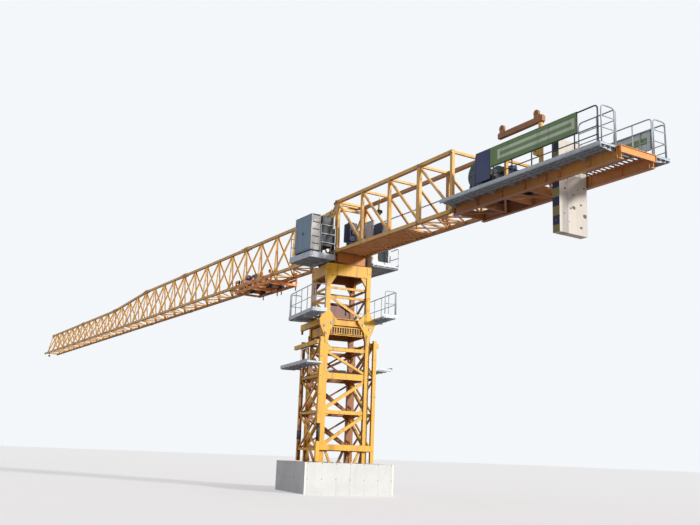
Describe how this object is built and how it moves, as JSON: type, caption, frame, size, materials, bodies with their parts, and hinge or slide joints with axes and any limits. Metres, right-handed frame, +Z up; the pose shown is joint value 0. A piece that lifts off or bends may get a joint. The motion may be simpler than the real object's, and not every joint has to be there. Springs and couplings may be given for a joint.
{
  "type": "scale model of a flat-top tower crane",
  "caption": "Flat-top tower crane, half real size: lattice jib with a trolley, counter-jib with winch and ballast, short mast with climbing cage in a concrete pit.",
  "frame": {"origin": "centre of the foundation's underside, on the slewing axis, at ground level", "axes": "+Z up along the slewing axis, +X along the jib from the tower to its tip"},
  "size_m": [36.7887, 2.5052, 6.4483],
  "materials": {
    "ballast_concrete": "cast concrete ballast with painted stripes",
    "blue_paint": "dark blue paint",
    "cab_glass": "tinted glass",
    "cab_white": "white paint",
    "cabinet_grey": "slate grey paint",
    "concrete": "cast concrete, formwork marks",
    "galvanised_steel": "dull galvanised steel",
    "orange_paint": "orange paint",
    "red_brown_paint": "dull red-brown paint",
    "teal_paint": "dark teal paint",
    "yellow_paint": "gloss yellow paint over steel, worn at edges"
  },
  "bodies": {
    "tower": {"foundation_plinth": "concrete", "pit_walls": "concrete", "mast_legs": "yellow_paint", "mast_front_bracing": "yellow_paint", "mast_rear_bracing": "yellow_paint", "mast_left_bracing": "yellow_paint", "mast_right_bracing": "yellow_paint", "base_struts": "yellow_paint", "cage_posts": "yellow_paint", "cage_left_bracing": "yellow_paint", "cage_rear_bracing": "yellow_paint", "cage_right_bracing": "yellow_paint", "cage_front_beam": "yellow_paint", "cage_platform": "galvanised_steel", "climbing_beams": "yellow_paint", "support_legs": "yellow_paint", "support_beams": "yellow_paint", "support_bracing": "yellow_paint", "hydraulic_unit": "red_brown_paint", "service_platform": "galvanised_steel", "service_railing": "galvanised_steel", "fixed_ring": "galvanised_steel"},
    "slewing_part": {"turntable": "yellow_paint", "slewing_drives": "blue_paint", "jib_links": "yellow_paint", "left_truss_side": "yellow_paint", "right_truss_side": "yellow_paint", "truss_handrails": "yellow_paint", "truss_top_bracing": "yellow_paint", "truss_floor": "yellow_paint", "left_girder": "yellow_paint", "right_girder": "yellow_paint", "girder_cross_beams": "yellow_paint", "left_walkway": "galvanised_steel", "right_walkway": "galvanised_steel", "left_railing": "galvanised_steel", "right_railing": "galvanised_steel", "inner_railings": "galvanised_steel", "name_boards": "blue_paint", "winch_frame": "blue_paint", "winch_motor": "blue_paint", "counterweight": "ballast_concrete", "derrick_post": "yellow_paint", "electric_cabinets": "cabinet_grey", "cabinet_platform": "galvanised_steel", "cab": "cab_white", "cab_windows": "cab_glass", "cab_platform": "galvanised_steel", "jib_root": "yellow_paint", "jib_second": "yellow_paint", "jib_third": "yellow_paint", "jib_taper": "yellow_paint", "jib_fifth": "yellow_paint", "jib_tip": "yellow_paint", "travel_winch": "blue_paint"},
    "trolley": {"trolley_frame": "orange_paint", "trolley_wheels": "blue_paint"},
    "derrick": {"derrick_beam": "yellow_paint"},
    "drum": {"hoist_drum": "teal_paint"}
  },
  "joints": [
    {"name": "slewing", "type": "hinge", "parent": "tower", "child": "slewing_part", "pos_m": [0, 0, 4.935], "axis": [0, 0, 1], "range_deg": [-540, 540]},
    {"name": "trolley_travel", "type": "slide", "parent": "slewing_part", "child": "trolley", "axis": [1, 0, 0], "range_m": [-2.2, 23]},
    {"name": "derrick_swing", "type": "hinge", "parent": "slewing_part", "child": "derrick", "pos_m": [-6.76, 0.345, 6.205], "axis": [0, 0, 1], "range_deg": [-150, 150]},
    {"name": "hoist_drum_turn", "type": "hinge", "parent": "slewing_part", "child": "drum", "pos_m": [-5.03, 0, 5.8], "axis": [0, 1, 0], "continuous": true}
  ]
}
